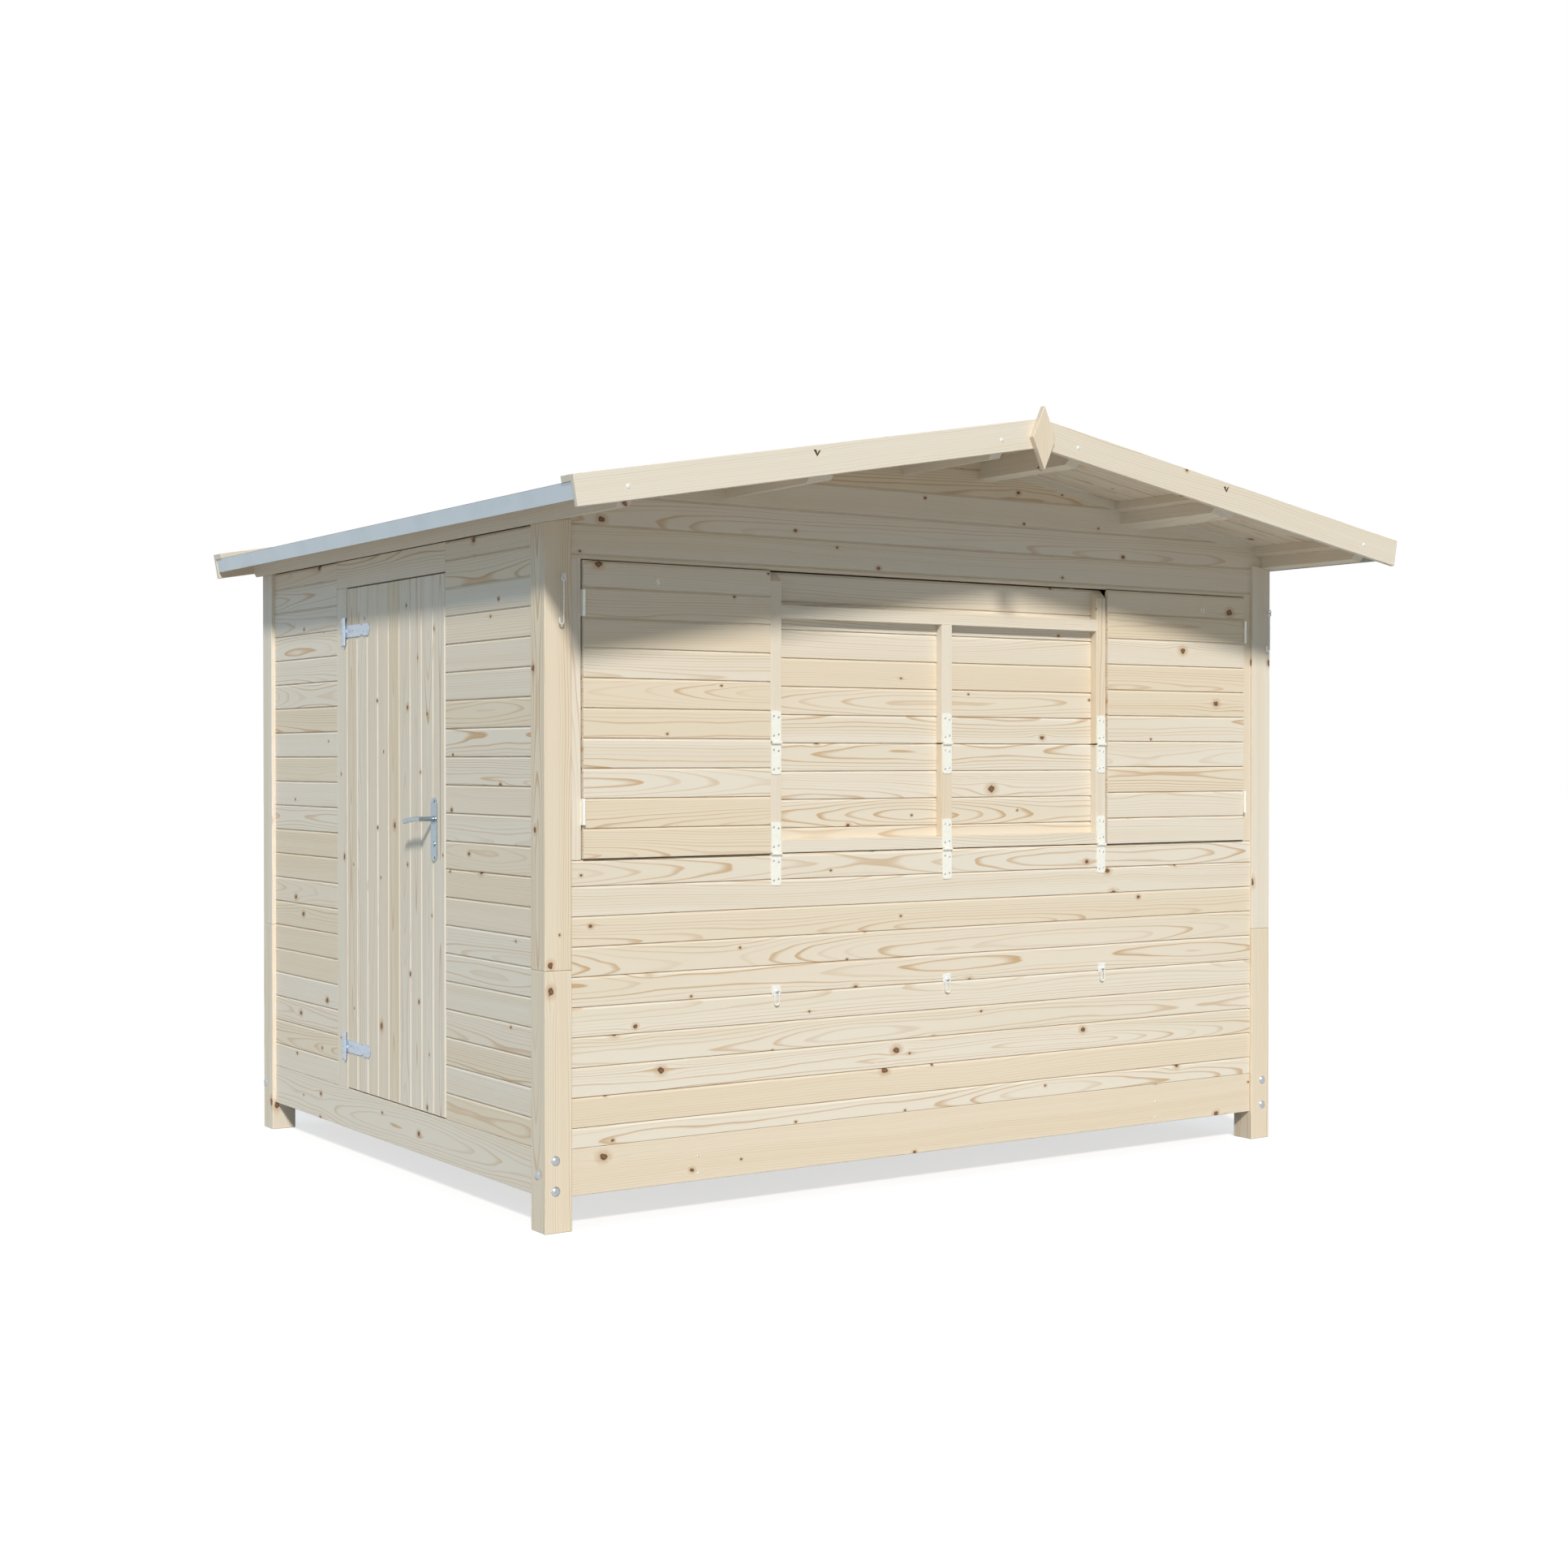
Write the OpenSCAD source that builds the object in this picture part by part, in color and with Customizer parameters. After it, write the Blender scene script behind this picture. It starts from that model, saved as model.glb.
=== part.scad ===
/* [Body] */
// Width over the outer faces of the posts
body_w = 3010; // [2500:10:3620]
// Depth over the outer faces of the posts
body_d = 2304; // [1900:4:2800]
// Height of the posts at their outer edge
post_h = 2098.5; // [1740:0.5:2520]
// Side of the square posts
post_s = 90; // [75:1:110]
// Height of the joint in each post
post_joint_z = 776; // [600:1:1000]
// Depth of the side cladding behind the post faces
side_inset = 14; // [6:1:20]
// Depth of the front and back cladding behind the post faces
face_inset = 11; // [6:1:20]
// Thickness of the cladding boards
clad_t = 19; // [15:1:24]

/* [Floor] */
// Height of the base boards above the ground
base_z = 102; // [60:1:140]
// Height of the base boards
base_h = 140; // [115:1:170]
// Thickness of the base boards
base_t = 28; // [23:1:34]
// Thickness of the floor deck
deck_t = 18; // [15:1:22]
// Width of a floor joist
joist_w = 45; // [37:1:54]
// Height of a floor joist
joist_h = 116; // [90:1:122]
// Distance of the outer joists from the middle
joist_out = 958; // [800:1:1150]
// Distance of the inner joists from the middle
joist_in = 319; // [260:1:380]

/* [Roof] */
// Slope of the roof in degrees
slope = 10; // [8:0.5:12]
// Reach of the roof in front of the posts, to the barge face
roof_front = 464; // [380:1:560]
// Reach of the roof behind the posts, to the barge face
roof_back = 106; // [88:1:128]
// Reach of the roof deck beyond the eave purlin, along the slope
eave_over = 134; // [110:1:160]
// Thickness of the roof boards
board_t = 15; // [12:1:18]
// Thickness of the roofing felt
felt_t = 2; // [1.6:0.1:2.4]
// Width of a purlin
purlin_w = 45; // [37:1:54]
// Depth of a purlin
purlin_h = 70; // [60:1:84]
// Bevel under each end of a purlin
purlin_bevel = 20; // [16:1:24]
// Middle of the roof to the inner edge of a ridge purlin
ridge_x = 135; // [110:1:160]
// Middle of the roof to the inner edge of a pair of middle purlins
mid_x = 776; // [650:1:900]
// Width of the battens beside the middle and eave purlins
batten_w = 40; // [33:1:48]
// Depth of the battens and of the rails on the gable walls
batten_h = 28; // [23:1:33]
// Width of the rails on the gable walls
rail_w = 45; // [37:1:54]
// Height of a barge board, square to its edge
barge_h = 91; // [78:1:109]
// Thickness of a barge board
barge_t = 18; // [15:1:22]
// Height of the barge top over the felt, square to the slope
barge_up = 18.5; // [15:0.5:22]
// Reach of a barge board beyond the deck along the slope
barge_end = 5; // [4:1:6]
// Reach of a barge cap from the barge face
cap_w = 72; // [60:1:86]
// Height of the metal drip edge
drip_h = 50; // [42:1:60]
// Width of the metal flange between deck and felt
drip_flange = 40; // [33:1:48]
// Thickness of the metal edge
drip_t = 1.5; // [1.2:0.1:1.8]
// Width of the diamond at the peak
finial_w = 93; // [78:1:112]
// Height of the diamond at the peak
finial_h = 202; // [168:1:242]
// Thickness of the diamond
finial_t = 20; // [16:1:24]
// Drop of the diamond's middle below the barge peak
finial_drop = 63; // [52:1:76]

/* [Hatch] */
// Height of the sill
sill_z = 1101; // [1000:1:1180]
// Height of the front wall over the hatch, below the post tops
head_h = 100; // [85:1:120]
// Width of the wall strip beside each post
strip_w = 37; // [31:1:44]
// Width of the folding panel in the middle
flap_w = 1408; // [1180:2:1680]
// Height of the counter, up to the fold
counter_h = 350; // [292:1:420]
// Depth of the battens on the folding panel
flap_batten_t = 30; // [25:1:36]
// Width of the battens on the folding panel
flap_batten_w = 43; // [38:1:51]
// Thickness of the boards of the folding panel
flap_t = 16; // [13:1:19]
// Distance of the upper cross batten below the panel's top edge
top_rail_drop = 103; // [85:1:124]
// Thickness of the shutters
shutter_t = 16; // [13:1:19]
// Distance of the shutter faces in front of the wall face
shutter_proud = 8; // [6:1:10]
// Clearance above and below shutters and panel
hatch_gap = 6; // [5:0.5:7]
// Clearance between a shutter and the folding panel
side_gap = 8.5; // [7:0.5:10]
// Clearance at the fold
fold_gap = 5; // [4:0.5:6]
// Width of the rails and studs round the hatch
frame_w = 45; // [37:1:54]
// Depth of the rails round the hatch
frame_h = 70; // [58:1:84]

/* [Hinges] */
// Width of a strap hinge
strap_w = 37; // [31:1:44]
// Length of one strap leaf from its pin
strap_l = 100; // [83:1:120]
// Thickness of every hinge leaf
leaf_t = 2.5; // [2:0.1:3]
// Radius of the knuckles
knuckle_r = 5; // [4.5:0.1:5.2]
// Radius of the pins
pin_r = 2; // [1.6:0.1:2.3]
// Height of a shutter hinge
butt_h = 79; // [66:1:95]
// Distance of the shutter hinge's middle from the hatch corners
butt_in = 138; // [115:1:166]
// Gap that holds the two leaves of a shutter hinge
butt_gap = 6.3; // [6:0.1:7]

/* [Door] */
// Distance of the door opening from the front post face
door_in = 709; // [590:1:800]
// Width of the door opening
door_w = 811; // [675:1:900]
// Height of the board over the door
door_head_h = 95; // [79:1:114]
// Width of the board on the hinge side
jamb_w = 88.5; // [74:0.5:106]
// Thickness of the door
door_t = 28; // [23:1:34]
// Clearance round the door
door_gap = 5; // [4:0.5:6]
// Width of the door stop
stop_w = 15; // [12:1:18]
// Side of the frame studs behind the cladding
stud_s = 45; // [37:1:54]
// Height of a door hinge leaf
tee_h = 97; // [80:1:116]
// Length of a door hinge strap from its pin
tee_l = 210; // [175:1:250]
// Height of a door hinge strap
tee_w = 42; // [35:1:50]
// Width of a door hinge leaf from its pin
tee_leaf = 34; // [28:1:41]
// Height of the upper door hinge below the door top
tee_top = 149; // [124:1:180]
// Height of the lower door hinge above the door foot
tee_low = 145; // [120:1:174]
// Height of the lever above the door foot
lever_z = 961; // [800:1:1150]
// Distance of the lever from the door's free edge
lever_in = 81; // [70:1:97]
// Width of the handle plates
plate_w = 46; // [39:1:54]
// Height of the handle plates
plate_h = 207; // [190:1:248]
// Height of the handle plate's middle below the lever
plate_drop = 35; // [30:1:40]
// Thickness of the handle plates
plate_t = 3; // [2.5:0.1:3.6]
// Drop from the lever to the key cylinder
key_drop = 82; // [70:1:96]
// Length of the lever grip
grip_l = 130; // [108:1:156]
// Radius of the lever grip
grip_r = 8; // [6.5:0.5:9.5]
// Radius of the bend along the lever grip
grip_bend = 680; // [560:10:820]
// Reach of the lever from the plate
grip_out = 52; // [43:1:62]

/* [Fittings] */
// Radius of a coach bolt head
bolt_r = 15; // [12:1:18]
// Height of a coach bolt head
bolt_h = 8; // [6:1:10]
// Bolt distance from the post's outer face, on front and back
bolt_in = 35; // [29:1:42]
// Heights of the two bolts above the base board's foot
bolt_zs = [22, 113];
// Drop of the cabin hooks' eyes below the post tops
hook_drop = 155; // [130:1:186]
// Length of a cabin hook
hook_l = 146; // [122:1:175]
// Drop of the staples below the sill
staple_drop = 429; // [380:1:500]
// Side of a staple plate
staple_s = 32; // [26:1:38]

/* [Hidden] */
$fn = 48;
slit = 0.15;
// clearance between faces that lie along the slope
fit = 0.03;
deck_top = base_z + base_h;
hx = body_w / 2;
cx = hx - side_inset;
ix = hx - post_s;
total_d = finial_t + roof_front + body_d + roof_back;
py0 = -total_d / 2 + finial_t + roof_front;
py1 = py0 + body_d;
cy0 = py0 + face_inset;
cy1 = py1 - face_inset;
by0 = py0 - roof_front + barge_t;
by1 = py1 + roof_back - barge_t;
ca = cos(slope);
sa = sin(slope);
ta = tan(slope);
// depths below the felt's top, square to the slope
w_deck = -felt_t;
w_wood = -felt_t - board_t;
w_batten = w_wood - batten_h;
w_purlin = w_wood - purlin_h;
ridge_z = post_h + hx * ta - w_purlin / ca;
// distances along the slope
u_eave1 = (hx - w_purlin * sa) / ca;
u_eave0 = u_eave1 - purlin_w;
u_ridge0 = (ridge_x - w_purlin * sa) / ca;
u_ridge1 = u_ridge0 + purlin_w;
u_mid0 = (mid_x - w_purlin * sa) / ca;
u_mid1 = u_mid0 + 2 * purlin_w;
u_deck = u_eave1 + eave_over;
u_barge = u_deck + barge_end;
peak_z = ridge_z + barge_up / ca;
head_z = post_h - head_h;
open_x = ix - strip_w;
door_y0 = py0 + door_in;
door_y1 = door_y0 + door_w;
door_top = post_h - door_head_h - door_gap;
door_foot = deck_top + door_gap;
flap_foot = sill_z + door_gap;
flap_top = head_z - hatch_gap - 1;
knuckle_y = cy0 - knuckle_r - 0.25;
sill_axis_z = sill_z + door_gap / 2;
fold_z = sill_axis_z + counter_h;
shutter_x0 = flap_w / 2 + side_gap;
shutter_x1 = open_x - butt_gap;
butt_x = open_x - butt_gap / 2;
butt_y = cy0 - shutter_proud - knuckle_r;
tee_x = -cx - knuckle_r - 0.5;
tee_y = door_y1 + 5;
lever_y = door_y0 + door_gap + lever_in;
lever_axis_z = door_foot + lever_z;
stile_x = [-(flap_w - flap_batten_w) / 2, 0, (flap_w - flap_batten_w) / 2];
eye_xs = [-1126, 1149];
hook_from_edge = [57, 17];
staple_xs = [-682, 0, 686];
wood = [0.91, 0.82, 0.67];
wood_side = [0.86, 0.79, 0.66];
zinc = [0.78, 0.80, 0.82];

// A point u along the right-hand slope and w above the felt
function on_slope(u, w) = [u * ca + w * sa, ridge_z - u * sa + w * ca];
// A point at distance x from the middle and w above the felt
function at_x(x, w) = [x, ridge_z + w / ca - x * ta];

module block(lo, hi) {
    translate(lo) cube(hi - lo);
}

module xz(y0, y1) {
    translate([0, y1, 0]) rotate([90, 0, 0]) linear_extrude(y1 - y0) children();
}

module yz(x0, x1) {
    translate([x0, 0, 0]) rotate([90, 0, 90]) linear_extrude(x1 - x0) children();
}

module both_sides() {
    children();
    mirror([1, 0, 0]) children();
}

// Posts: two lengths, the upper one cut to the slope of the purlin it carries
module post(y0) {
    block([ix, y0, 0], [hx, y0 + post_s, post_joint_z - slit]);
    xz(y0, y0 + post_s)
        polygon([[ix, post_joint_z + slit], [hx, post_joint_z + slit],
            [hx, post_h - fit], [ix, post_h - fit + post_s * ta]]);
}

module post_front_left() {
    color(wood) mirror([1, 0, 0]) post(py0);
}

module post_front_right() {
    color(wood) post(py0);
}

module post_back_left() {
    color(wood_side) mirror([1, 0, 0]) post(py1 - post_s);
}

module post_back_right() {
    color(wood_side) post(py1 - post_s);
}

// Floor
module base_boards() {
    color(wood) {
        block([-ix, cy0, base_z], [ix, cy0 + base_t, deck_top]);
        block([-ix, cy1 - base_t, base_z], [ix, cy1, deck_top]);
        both_sides()
            block([cx - base_t, py0 + post_s, base_z], [cx, py1 - post_s, deck_top]);
    }
}

module floor_joists() {
    color(wood_side)
        for (x = [-joist_out, -joist_in, joist_in, joist_out])
            block([x - joist_w / 2, cy0 + base_t, deck_top - deck_t - joist_h],
                [x + joist_w / 2, cy1 - base_t, deck_top - deck_t]);
}

module floor_deck() {
    color(wood_side)
        translate([0, 0, deck_top - deck_t]) linear_extrude(deck_t) difference() {
            translate([base_t - cx, cy0 + base_t])
                square([2 * (cx - base_t), cy1 - cy0 - 2 * base_t]);
            for (x = [-ix - post_s, ix], y = [py0, py1 - post_s])
                translate([x, y]) square(post_s);
        }
}

// Walls
module front_wall() {
    color(wood) block([-ix, cy0, deck_top], [ix, cy0 + clad_t, sill_z]);
}

module front_strips() {
    color(wood) both_sides() block([open_x, cy0, sill_z], [ix, cy0 + clad_t, head_z]);
}

// Outline of half a gable above height z0, notched round the purlins
function gable_side(z0) = [[ix, z0], at_x(ix, w_purlin - fit),
    on_slope(u_eave0 - fit, w_purlin - fit), on_slope(u_eave0 - fit, w_batten - fit),
    on_slope(u_mid1 + fit, w_batten - fit), on_slope(u_mid1 + fit, w_purlin - fit),
    on_slope(u_mid0 - fit, w_purlin - fit), on_slope(u_mid0 - fit, w_batten - fit),
    on_slope(u_ridge1 + fit, w_batten - fit), on_slope(u_ridge1 + fit, w_purlin - fit),
    on_slope(u_ridge0 - fit, w_purlin - fit), on_slope(u_ridge0 - fit, w_batten - fit)];

module gable(z0) {
    side = gable_side(z0);
    n = len(side);
    polygon(concat(side, [at_x(0, w_batten - fit)],
        [for (i = [1:n]) [-side[n - i][0], side[n - i][1]]]));
}

module front_gable() {
    color(wood) xz(cy0, cy0 + clad_t) gable(head_z);
}

module back_wall() {
    color(wood_side) xz(cy1 - clad_t, cy1) gable(deck_top);
}

module right_wall() {
    color(wood_side)
        block([cx - clad_t, py0 + post_s, deck_top], [cx, py1 - post_s, post_h]);
}

module left_wall_front() {
    color(wood_side)
        block([-cx, py0 + post_s, deck_top], [clad_t - cx, door_y0, post_h]);
}

module left_wall_rear() {
    color(wood_side)
        block([-cx, door_y1 + jamb_w, deck_top], [clad_t - cx, py1 - post_s, post_h]);
}

module door_trim() {
    color(wood_side) {
        block([-cx, door_y1, deck_top],
            [clad_t - cx, door_y1 + jamb_w, post_h - door_head_h - slit]);
        block([-cx, door_y0, post_h - door_head_h + slit],
            [clad_t - cx, door_y1 + jamb_w, post_h]);
    }
}

// Studs and header behind the cladding, with the strips that the door closes on
module door_frame() {
    x0 = clad_t - cx;
    stop_x = door_t + door_gap - cx;
    header_z = post_h - door_head_h;
    color(wood_side) {
        block([x0, door_y0 - stud_s, deck_top], [x0 + stud_s, door_y0, post_h]);
        block([stop_x, door_y0 - 1, deck_top],
            [x0 + stud_s, door_y0 + stop_w, header_z - stop_w - slit]);
        block([x0, door_y1, deck_top], [x0 + stud_s, door_y1 + stud_s, post_h]);
        block([x0, door_y0 + slit, header_z],
            [x0 + stud_s, door_y1 - slit, header_z + stud_s]);
        block([stop_x, door_y0 + slit, header_z - stop_w + slit],
            [x0 + stud_s, door_y1 - slit, header_z + 1]);
    }
}

module hatch_frame() {
    y0 = cy0 + clad_t;
    color(wood_side) {
        block([-ix, y0, sill_z - frame_h], [ix, y0 + frame_w, sill_z]);
        block([-ix, y0, head_z], [ix, y0 + frame_w, head_z + frame_h]);
        both_sides()
            block([open_x, y0, sill_z + slit], [ix, y0 + frame_w, head_z - slit]);
    }
}

// Roof timbers, laid out along the slope
module slope_bar(u0, u1, w0, w1, y0, y1, bevel) {
    translate([0, 0, ridge_z]) rotate([0, slope, 0])
        yz(u0, u1)
            polygon([[y0, w1], [y0, w0 + bevel], [y0 + bevel, w0],
                [y1 - bevel, w0], [y1, w0 + bevel], [y1, w1]]);
}

module purlin(u0, u1) {
    slope_bar(u0, u1, w_purlin, w_wood, by0, by1, purlin_bevel);
}

module ridge_purlins() {
    color(wood) both_sides() purlin(u_ridge0, u_ridge1);
}

module mid_purlins() {
    color(wood) both_sides() {
        purlin(u_mid0, u_mid0 + purlin_w - slit);
        purlin(u_mid0 + purlin_w + slit, u_mid1);
    }
}

module eave_purlins() {
    color(wood) both_sides() purlin(u_eave0, u_eave1);
}

module batten(u1) {
    translate([0, 0, ridge_z]) rotate([0, slope, 0])
        block([u1 - batten_w, by0, w_batten], [u1, by1, w_wood]);
}

module roof_battens() {
    color(wood) both_sides() {
        batten(u_mid0 - slit);
        batten(u_eave0 - slit);
    }
}

module rail(u0, u1, y0) {
    translate([0, 0, ridge_z]) rotate([0, slope, 0])
        block([u0, y0, w_batten], [u1, y0 + rail_w, w_wood]);
}

module gable_rails() {
    color(wood) for (y = [cy0 - 1, cy1 - rail_w + 1]) {
        both_sides() {
            xz(y, y + rail_w)
                polygon([at_x(slit, w_batten), at_x(slit, w_wood),
                    on_slope(u_ridge0 - slit, w_wood), on_slope(u_ridge0 - slit, w_batten)]);
            rail(u_ridge1 + slit, u_mid0 - batten_w - 2 * slit, y);
            rail(u_mid1 + slit, u_eave0 - batten_w - 2 * slit, y);
        }
    }
}

module roof_deck() {
    color(wood) both_sides()
        xz(by0, by1)
            polygon([at_x(slit, w_wood), at_x(slit, w_deck),
                on_slope(u_deck, w_deck), on_slope(u_deck, w_wood)]);
}

function felt_side() = [on_slope(u_deck + drip_t, 0),
    on_slope(u_deck + drip_t, fit - felt_t / 2), on_slope(u_deck - drip_flange - slit, fit - felt_t / 2),
    on_slope(u_deck - drip_flange - slit, w_deck + fit)];

module roof_felt() {
    side = felt_side();
    left = [for (i = [1:4]) [-side[4 - i][0], side[4 - i][1]]];
    color([0.22, 0.23, 0.24]) xz(by0, by1)
        polygon(concat([at_x(0, 0)], side, [at_x(0, w_deck + fit)], left));
}

// The flange lies on the deck and the felt passes over it
module drip_edges() {
    u0 = u_deck - drip_flange;
    color(zinc) both_sides()
        xz(by0, by1)
            polygon([on_slope(u0, w_deck + fit), on_slope(u0, -felt_t / 2),
                on_slope(u_deck + drip_t, -felt_t / 2),
                on_slope(u_deck + drip_t, -drip_h),
                on_slope(u_deck + fit, -drip_h), on_slope(u_deck + fit, w_deck + fit)]);
}

module barge_boards() {
    color(wood) for (y = [by0 - barge_t, by1])
        both_sides()
            xz(y, y + barge_t)
                polygon([at_x(slit, barge_up), on_slope(u_barge, barge_up),
                    on_slope(u_barge, barge_up - barge_h), at_x(slit, barge_up - barge_h)]);
}

module barge_caps() {
    reach = cap_w - barge_t;
    color(wood) for (y = [by0, by1 - reach])
        both_sides()
            xz(y, y + reach)
                polygon([at_x(slit, fit), at_x(slit, barge_up),
                    on_slope(u_barge, barge_up), on_slope(u_barge, fit)]);
}

module finial() {
    z = peak_z - finial_drop;
    y1 = by0 - barge_t;
    color(wood) xz(y1 - finial_t, y1)
        polygon([[-finial_w / 2, z], [0, z - finial_h / 2],
            [finial_w / 2, z], [0, z + finial_h / 2]]);
}

// Door
module door() {
    color(wood_side) difference() {
        block([-cx, door_y0 + door_gap, door_foot], [door_t - cx, door_y1 - door_gap, door_top]);
        translate([-cx - 1, lever_y, lever_axis_z]) rotate([0, 90, 0])
            cylinder(r = grip_r, h = door_t + 2);
    }
}

tee_zs = [door_foot + tee_low, door_top - tee_top];

// A knuckle along Z, solid or with a bore for the pin
module knuckle(h, bored) {
    difference() {
        translate([0, 0, -h / 2]) cylinder(r = knuckle_r, h = h);
        if (bored)
            translate([0, 0, -h / 2 - 1]) cylinder(r = pin_r + 0.3, h = h + 2);
    }
}

module door_hinge_leaves() {
    notch = tee_w / 2 + 0.5;
    color(zinc) for (z = tee_zs) translate([tee_x, tee_y, z]) {
        yz(-cx - leaf_t - tee_x, -cx - tee_x) difference() {
            translate([0, -tee_h / 2]) square([tee_leaf, tee_h]);
            translate([-1, -notch]) square([knuckle_r + 1.5, 2 * notch]);
        }
        for (s = [-1, 1])
            translate([0, 0, s * (notch + (tee_h / 2 - notch) / 2)])
                knuckle(tee_h / 2 - notch, false);
        translate([0, 0, -tee_h / 2]) cylinder(r = pin_r, h = tee_h);
    }
}

// The strap is notched on both edges near its end and finishes in a round lobe
module tee_strap() {
    r = tee_w / 2;
    polygon([[0, -r], [0, r], [-tee_l * 0.62, r * 0.98], [-tee_l * 0.69, r * 0.68],
        [-tee_l * 0.75, r], [r - tee_l, r], [r - tee_l, -r], [-tee_l * 0.75, -r],
        [-tee_l * 0.69, -r * 0.68], [-tee_l * 0.62, -r * 0.98]]);
    translate([r - tee_l, 0]) circle(r = r);
}

module door_straps() {
    color(zinc) for (z = tee_zs) translate([tee_x, tee_y, z]) difference() {
        union() {
            yz(-cx - leaf_t - 2 * slit - tee_x, -cx - 2 * slit - tee_x) tee_strap();
            knuckle(tee_w, false);
        }
        translate([0, 0, -tee_w / 2 - 1]) cylinder(r = pin_r + 0.3, h = tee_w + 2);
    }
}

module handle_plate() {
    r = plate_w / 2;
    end = plate_h / 2 - r;
    difference() {
        union() {
            yz(0, plate_t) translate([0, -plate_drop]) {
                translate([-r, -end]) square([plate_w, 2 * end]);
                for (s = [-1, 1]) translate([0, s * end]) circle(r = r);
            }
            translate([0, 0, -key_drop]) rotate([0, 90, 0])
                cylinder(r = 8.5, h = plate_t + 3);
        }
        translate([-1, 0, 0]) rotate([0, 90, 0]) cylinder(r = grip_r + 1, h = plate_t + 2);
    }
}

module handle_plates() {
    color(zinc) {
        translate([-cx, lever_y, lever_axis_z]) mirror([1, 0, 0]) handle_plate();
        translate([door_t - cx, lever_y, lever_axis_z]) handle_plate();
    }
}

// One lever: a neck out from the plate and a grip that droops towards its end
module lever() {
    turn = grip_l * 180 / PI / grip_bend;
    rotate([0, 90, 0]) cylinder(r = grip_r - 0.5, h = grip_out + 2);
    translate([grip_out, 0, -grip_bend]) rotate([0, -90, 0]) rotate([0, 0, -turn * 0.07])
        rotate_extrude(angle = turn) translate([grip_bend, 0]) circle(r = grip_r);
}

module door_lever() {
    color(zinc) translate([-cx, lever_y, lever_axis_z]) {
        mirror([1, 0, 0]) lever();
        translate([door_t, 0, 0]) lever();
        translate([-1, 0, 0]) rotate([0, 90, 0]) cylinder(r = 5, h = door_t + 2);
    }
}

// Shutters
module shutter() {
    block([shutter_x0, cy0 - shutter_proud, flap_foot],
        [shutter_x1, cy0 - shutter_proud + shutter_t, flap_top]);
}

module left_shutter() {
    color(wood) mirror([1, 0, 0]) shutter();
}

module right_shutter() {
    color(wood) shutter();
}

butt_zs = [sill_z + hatch_gap + butt_in, flap_top - butt_in + 13];

module shutter_hinge_leaves() {
    third = butt_h / 3;
    color(zinc) both_sides() for (z = butt_zs) translate([butt_x, butt_y, z]) {
        for (s = [-1, 1]) translate([0, 0, s * (third + 0.25)]) {
            knuckle(third - 0.5, false);
            block([butt_gap / 2 - leaf_t, 0, -third / 2 + 0.25],
                [butt_gap / 2, clad_t + cy0 - butt_y, third / 2 - 0.25]);
        }
        block([butt_gap / 2 - leaf_t, knuckle_r + 1, -butt_h / 2],
            [butt_gap / 2, clad_t + cy0 - butt_y, butt_h / 2]);
        translate([0, 0, -butt_h / 2]) cylinder(r = pin_r, h = butt_h);
    }
}

// Hinge leaves of the right-hand shutter, on its edge
module shutter_leaf() {
    third = butt_h / 3;
    y1 = cy0 - shutter_proud + shutter_t - butt_y;
    for (z = butt_zs) translate([butt_x, butt_y, z]) difference() {
        union() {
            knuckle(third, false);
            block([-butt_gap / 2, 0, -third / 2], [leaf_t - butt_gap / 2, y1, third / 2]);
            block([-butt_gap / 2, knuckle_r + 1, -butt_h / 2],
                [leaf_t - butt_gap / 2, y1, butt_h / 2]);
        }
        translate([0, 0, -third]) cylinder(r = pin_r + 0.3, h = 2 * third);
    }
}

// A screw eye standing out of a face that looks to the front
module screw_eye() {
    translate([0, -14, 0]) rotate([0, 90, 0])
        rotate_extrude() translate([7, 0]) circle(r = 1.8, $fn = 24);
    translate([0, -5.5, 0]) rotate([-90, 0, 0]) cylinder(r = 1.8, h = 5.5);
}

eye_z = post_h - 160;

module left_shutter_fittings() {
    color(zinc) {
        mirror([1, 0, 0]) shutter_leaf();
        translate([eye_xs[0], cy0 - shutter_proud, eye_z]) screw_eye();
    }
}

module right_shutter_fittings() {
    color(zinc) {
        shutter_leaf();
        translate([eye_xs[1], cy0 - shutter_proud, eye_z]) screw_eye();
    }
}

// Folding panel: battens in the wall face, boards behind them
flap_y1 = cy0 + flap_batten_t + flap_t;

module counter_boards() {
    color(wood)
        block([-flap_w / 2, cy0 + flap_batten_t, flap_foot],
            [flap_w / 2, flap_y1, fold_z - fold_gap / 2]);
}

module brace_boards() {
    color(wood)
        block([-flap_w / 2, cy0 + flap_batten_t, fold_z + fold_gap / 2],
            [flap_w / 2, flap_y1, flap_top]);
}

module stile(i, z0, z1) {
    block([stile_x[i] - flap_batten_w / 2, cy0, z0],
        [stile_x[i] + flap_batten_w / 2, cy0 + flap_batten_t, z1]);
}

module cross_batten(z0) {
    block([stile_x[0] + flap_batten_w / 2 + slit, cy0, z0],
        [stile_x[2] - flap_batten_w / 2 - slit, cy0 + flap_batten_t, z0 + flap_batten_w - 2]);
}

module counter_battens() {
    z1 = fold_z - fold_gap / 2;
    color(wood) {
        for (i = [0, 2]) stile(i, flap_foot, z1);
        stile(1, flap_foot + flap_batten_w - 2 + 2 * slit, z1);
        cross_batten(flap_foot);
    }
}

// The outer battens end in a bevel that lies on the wall when the panel is folded
module brace_battens() {
    z0 = fold_z + fold_gap / 2;
    rail_z = flap_top - top_rail_drop - flap_batten_w + 2;
    color(wood) {
        for (i = [0, 2])
            yz(stile_x[i] - flap_batten_w / 2, stile_x[i] + flap_batten_w / 2)
                polygon([[cy0, z0], [cy0 + flap_batten_t, z0], [cy0 + flap_batten_t, flap_top - 1],
                    [cy0, flap_top - 1 - flap_batten_t]]);
        stile(1, z0, rail_z - 2 * slit);
        cross_batten(rail_z);
    }
}

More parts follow.
